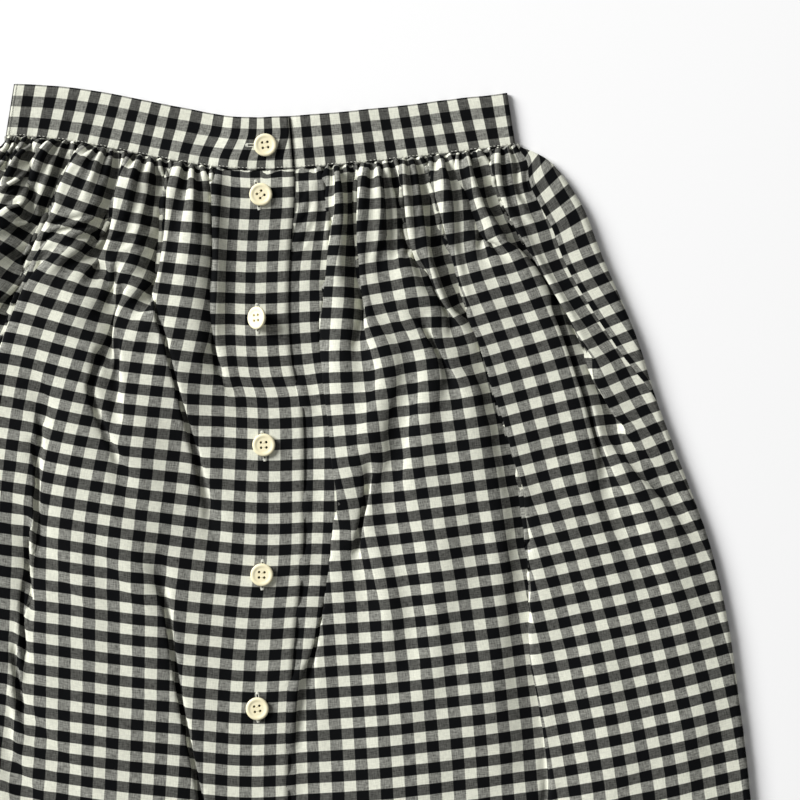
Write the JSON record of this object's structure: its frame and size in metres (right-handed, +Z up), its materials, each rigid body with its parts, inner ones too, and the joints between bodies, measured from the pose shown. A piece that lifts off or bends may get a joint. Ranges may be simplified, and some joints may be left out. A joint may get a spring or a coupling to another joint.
{
  "type": "button-front gathered midi skirt",
  "caption": "Gathered midi skirt in small black and cream gingham, laid flat: front button placket, plain waistband, side seams.",
  "frame": {"origin": "centre of the bounding box in plan, at the height of the surface that the skirt lies on", "axes": "+Y from the hem to the waistband, +X to the wearer's left as the front is seen from above, +Z up out of the front"},
  "size_m": [0.679, 0.7824, 0.0187],
  "materials": {
    "gingham": "light plain-weave cotton, black and cream gingham with 8 by 7 mm squares",
    "gingham_crossgrain": "the same gingham cut on the other grain, doubled and pressed",
    "button": "polished ivory-coloured resin"
  },
  "bodies": {
    "root": {"back_panel": "gingham", "front_panel_underlap": "gingham", "front_panel_overlap": "gingham", "waistband": "gingham_crossgrain", "button_1": "button", "button_2": "button", "button_3": "button", "button_4": "button", "button_5": "button", "button_6": "button", "button_7": "button", "button_8": "button", "button_9": "button"}
  },
  "joints": []
}
